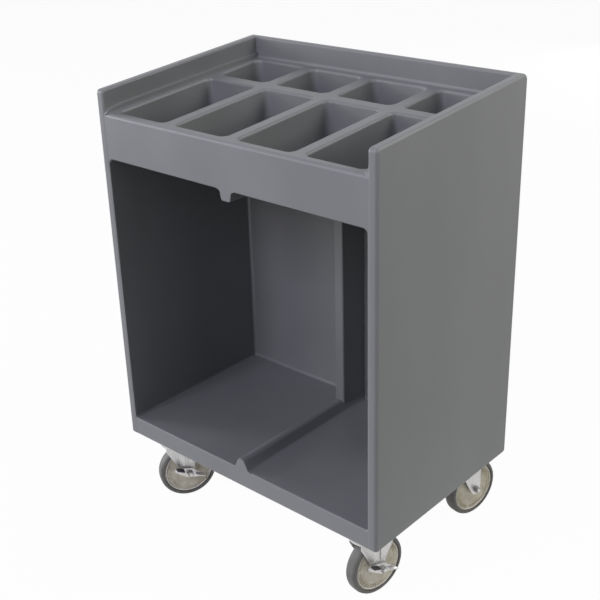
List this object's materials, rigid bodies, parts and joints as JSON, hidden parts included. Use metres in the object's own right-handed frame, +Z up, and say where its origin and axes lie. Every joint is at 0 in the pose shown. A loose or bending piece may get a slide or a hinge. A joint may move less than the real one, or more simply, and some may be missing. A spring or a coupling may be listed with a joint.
{
  "type": "tray and cutlery cart",
  "caption": "Moulded plastic tray and cutlery cart: cutlery pockets in a sloping deck above open tray bays, on swivel casters with foot brakes at the front.",
  "frame": {"origin": "on the floor, at the middle of the whole cart's plan, casters included", "axes": "+Z up, -Y towards the open front of the tray bays, +X to the right as seen from the front"},
  "size_m": [0.816, 0.5658, 1.1449],
  "materials": {
    "body_plastic": "matt, faintly mottled moulded polyethylene",
    "zinc": "zinc-plated pressed steel",
    "insert_metal": "plain",
    "tread_rubber": "matt dark grey",
    "wheel_plastic": "satin",
    "pad_rubber": "matt"
  },
  "bodies": {
    "cart": {"cart_body": "body_plastic", "caster_plates": "zinc", "king_pins": "zinc", "ball_rings": "zinc", "caster_bolts": "zinc", "threaded_inserts": "insert_metal"},
    "swivel_front_left": {"fork_front_left": "zinc", "axle_bolt_front_left": "zinc", "axle_nut_front_left": "zinc", "axle_bush_front_left": "zinc", "brake_bracket_front_left": "zinc"},
    "wheel_front_left": {"tread_front_left": "tread_rubber", "wheel_core_front_left": "wheel_plastic"},
    "brake_front_left": {"brake_lever_front_left": "zinc", "pedal_pad_front_left": "pad_rubber"},
    "swivel_front_right": {"fork_front_right": "zinc", "axle_bolt_front_right": "zinc", "axle_nut_front_right": "zinc", "axle_bush_front_right": "zinc", "brake_bracket_front_right": "zinc"},
    "wheel_front_right": {"tread_front_right": "tread_rubber", "wheel_core_front_right": "wheel_plastic"},
    "brake_front_right": {"brake_lever_front_right": "zinc", "pedal_pad_front_right": "pad_rubber"},
    "swivel_rear_left": {"fork_rear_left": "zinc", "axle_bolt_rear_left": "zinc", "axle_nut_rear_left": "zinc", "axle_bush_rear_left": "zinc"},
    "wheel_rear_left": {"tread_rear_left": "tread_rubber", "wheel_core_rear_left": "wheel_plastic"},
    "swivel_rear_right": {"fork_rear_right": "zinc", "axle_bolt_rear_right": "zinc", "axle_nut_rear_right": "zinc", "axle_bush_rear_right": "zinc"},
    "wheel_rear_right": {"tread_rear_right": "tread_rubber", "wheel_core_rear_right": "wheel_plastic"}
  },
  "joints": [
    {"name": "swivel_front_left", "type": "hinge", "parent": "cart", "child": "swivel_front_left", "pos_m": [-0.304, -0.21694, 0.167], "axis": [0, 0, 1], "continuous": true},
    {"name": "wheel_front_left", "type": "hinge", "parent": "swivel_front_left", "child": "wheel_front_left", "pos_m": [-0.2947, -0.19924, 0.0762], "axis": [0.8854, -0.4648, 0], "continuous": true},
    {"name": "brake_front_left", "type": "hinge", "parent": "swivel_front_left", "child": "brake_front_left", "pos_m": [-0.2947, -0.19924, 0.0762], "axis": [0.8854, -0.4648, 0], "range_deg": [0, 25]},
    {"name": "swivel_front_right", "type": "hinge", "parent": "cart", "child": "swivel_front_right", "pos_m": [0.333, -0.21694, 0.167], "axis": [0, 0, 1], "continuous": true},
    {"name": "wheel_front_right", "type": "hinge", "parent": "swivel_front_right", "child": "wheel_front_right", "pos_m": [0.33682, -0.19731, 0.0762], "axis": [0.9816, -0.1908, 0], "continuous": true},
    {"name": "brake_front_right", "type": "hinge", "parent": "swivel_front_right", "child": "brake_front_right", "pos_m": [0.33682, -0.19731, 0.0762], "axis": [0.9816, -0.1908, 0], "range_deg": [0, 25]},
    {"name": "swivel_rear_left", "type": "hinge", "parent": "cart", "child": "swivel_rear_left", "pos_m": [-0.304, 0.18605, 0.167], "axis": [0, 0, 1], "continuous": true},
    {"name": "wheel_rear_left", "type": "hinge", "parent": "swivel_rear_left", "child": "wheel_rear_left", "pos_m": [-0.30018, 0.20569, 0.0762], "axis": [0.9816, -0.1908, 0], "continuous": true},
    {"name": "swivel_rear_right", "type": "hinge", "parent": "cart", "child": "swivel_rear_right", "pos_m": [0.333, 0.18605, 0.167], "axis": [0, 0, 1], "continuous": true},
    {"name": "wheel_rear_right", "type": "hinge", "parent": "swivel_rear_right", "child": "wheel_rear_right", "pos_m": [0.33682, 0.20569, 0.0762], "axis": [0.9816, -0.1908, 0], "continuous": true}
  ]
}
